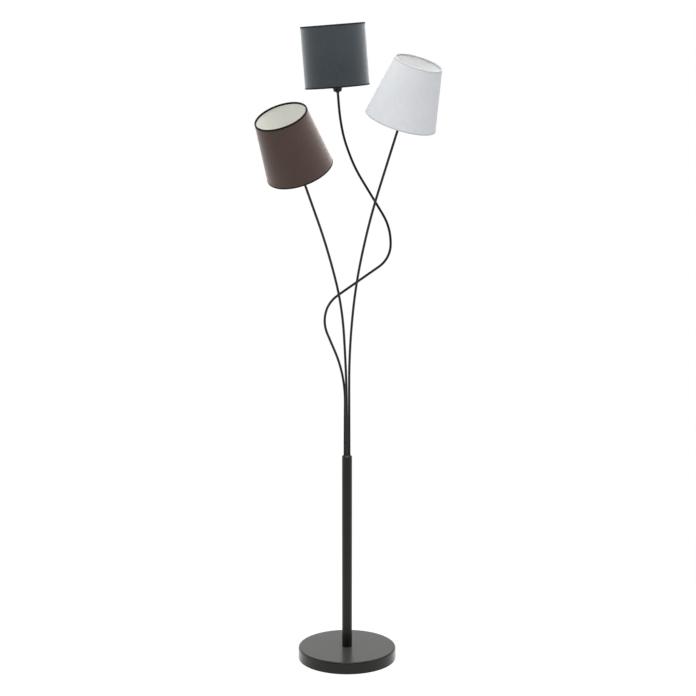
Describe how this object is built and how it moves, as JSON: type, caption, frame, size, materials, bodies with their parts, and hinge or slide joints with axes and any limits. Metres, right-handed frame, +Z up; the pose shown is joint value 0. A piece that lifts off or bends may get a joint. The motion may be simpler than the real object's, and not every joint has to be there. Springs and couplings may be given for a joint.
{
  "type": "tree floor lamp",
  "caption": "Floor lamp with a round weighted base, one pole and thin bent arms, each ending in a lampholder with its own fabric shade.",
  "frame": {"origin": "centre of the base's underside, on the floor", "axes": "+Z up along the pole, -Y towards the front of the lamp as pictured, +X to the right"},
  "size_m": [0.4301, 0.3893, 1.5759],
  "materials": {
    "black_metal": "satin near-black powder coat",
    "cast_weight": "rough cast",
    "felt": "pressed felt",
    "rubber": "moulded",
    "steel": "zinc plated",
    "brass": "plain",
    "terminal_plastic": "moulded",
    "lead_insulation": "moulded",
    "black_plastic": "moulded",
    "ceramic": "glazed",
    "brown_fabric": "woven, taupe, white lining",
    "white_fabric": "woven, cool white, white lining",
    "grey_fabric": "woven, slate grey, white lining",
    "white_wire": "white powder coat",
    "cap_metal": "plain",
    "opal": "opal"
  },
  "bodies": {
    "stand": {"arm_ferrules": "brass", "base_cover": "black_metal", "base_weight": "cast_weight", "brown_arm": "black_metal", "brown_holder_contacts": "brass", "brown_holder_cup": "black_metal", "brown_holder_insert": "ceramic", "brown_holder_nipple": "black_metal", "brown_holder_skirt": "black_plastic", "brown_lead": "lead_insulation", "cord_grommet": "rubber", "floor_pad": "felt", "foot_nut": "steel", "foot_plug": "steel", "foot_stud": "steel", "foot_washer": "steel", "grey_arm": "black_metal", "grey_holder_contacts": "brass", "grey_holder_cup": "black_metal", "grey_holder_insert": "ceramic", "grey_holder_nipple": "black_metal", "grey_holder_skirt": "black_plastic", "grey_lead": "lead_insulation", "nipple_locknuts": "steel", "pole_cap": "black_metal", "pole_tube": "black_metal", "terminal_block": "terminal_plastic", "terminal_screws": "brass", "white_arm": "black_metal", "white_holder_contacts": "brass", "white_holder_cup": "black_metal", "white_holder_insert": "ceramic", "white_holder_nipple": "black_metal", "white_holder_skirt": "black_plastic", "white_lead": "lead_insulation"},
    "brown_shade": {"brown_shade": "brown_fabric", "brown_shade_spider": "white_wire", "brown_shade_top_ring": "white_wire"},
    "brown_ring_nut": {"brown_shade_ring_nut": "black_plastic"},
    "brown_bulb": {"brown_bulb_cap": "cap_metal", "brown_bulb_diffuser": "opal"},
    "white_shade": {"white_shade": "white_fabric", "white_shade_spider": "white_wire", "white_shade_top_ring": "white_wire"},
    "white_ring_nut": {"white_shade_ring_nut": "black_plastic"},
    "white_bulb": {"white_bulb_cap": "cap_metal", "white_bulb_diffuser": "opal"},
    "grey_shade": {"grey_shade": "grey_fabric", "grey_shade_spider": "white_wire", "grey_shade_top_ring": "white_wire"},
    "grey_ring_nut": {"grey_shade_ring_nut": "black_plastic"},
    "grey_bulb": {"grey_bulb_cap": "cap_metal", "grey_bulb_diffuser": "opal"}
  },
  "joints": [
    {"name": "brown_shade_turn", "type": "hinge", "parent": "stand", "child": "brown_shade", "pos_m": [-0.1054, -0.1472, 1.2275], "axis": [-0.2863, -0.3842, 0.8777], "continuous": true},
    {"name": "brown_ring_nut_turn", "type": "hinge", "parent": "stand", "child": "brown_ring_nut", "pos_m": [-0.1054, -0.1472, 1.2275], "axis": [-0.2863, -0.3842, 0.8777], "range_deg": [0, 5400]},
    {"name": "brown_bulb_turn", "type": "hinge", "parent": "stand", "child": "brown_bulb", "pos_m": [-0.1054, -0.1472, 1.2275], "axis": [-0.2863, -0.3842, 0.8777], "range_deg": [0, 2160]},
    {"name": "white_shade_turn", "type": "hinge", "parent": "stand", "child": "white_shade", "pos_m": [0.1218, -0.0908, 1.338], "axis": [0.2799, -0.2262, 0.933], "continuous": true},
    {"name": "white_ring_nut_turn", "type": "hinge", "parent": "stand", "child": "white_ring_nut", "pos_m": [0.1218, -0.0908, 1.338], "axis": [0.2799, -0.2262, 0.933], "range_deg": [0, 5400]},
    {"name": "white_bulb_turn", "type": "hinge", "parent": "stand", "child": "white_bulb", "pos_m": [0.1218, -0.0908, 1.338], "axis": [0.2799, -0.2262, 0.933], "range_deg": [0, 2160]},
    {"name": "grey_shade_turn", "type": "hinge", "parent": "stand", "child": "grey_shade", "pos_m": [-0.022, -0.001, 1.413], "axis": [-0.078, 0, 0.997], "continuous": true},
    {"name": "grey_ring_nut_turn", "type": "hinge", "parent": "stand", "child": "grey_ring_nut", "pos_m": [-0.022, -0.001, 1.413], "axis": [-0.078, 0, 0.997], "range_deg": [0, 5400]},
    {"name": "grey_bulb_turn", "type": "hinge", "parent": "stand", "child": "grey_bulb", "pos_m": [-0.022, -0.001, 1.413], "axis": [-0.078, 0, 0.997], "range_deg": [0, 2160]}
  ]
}
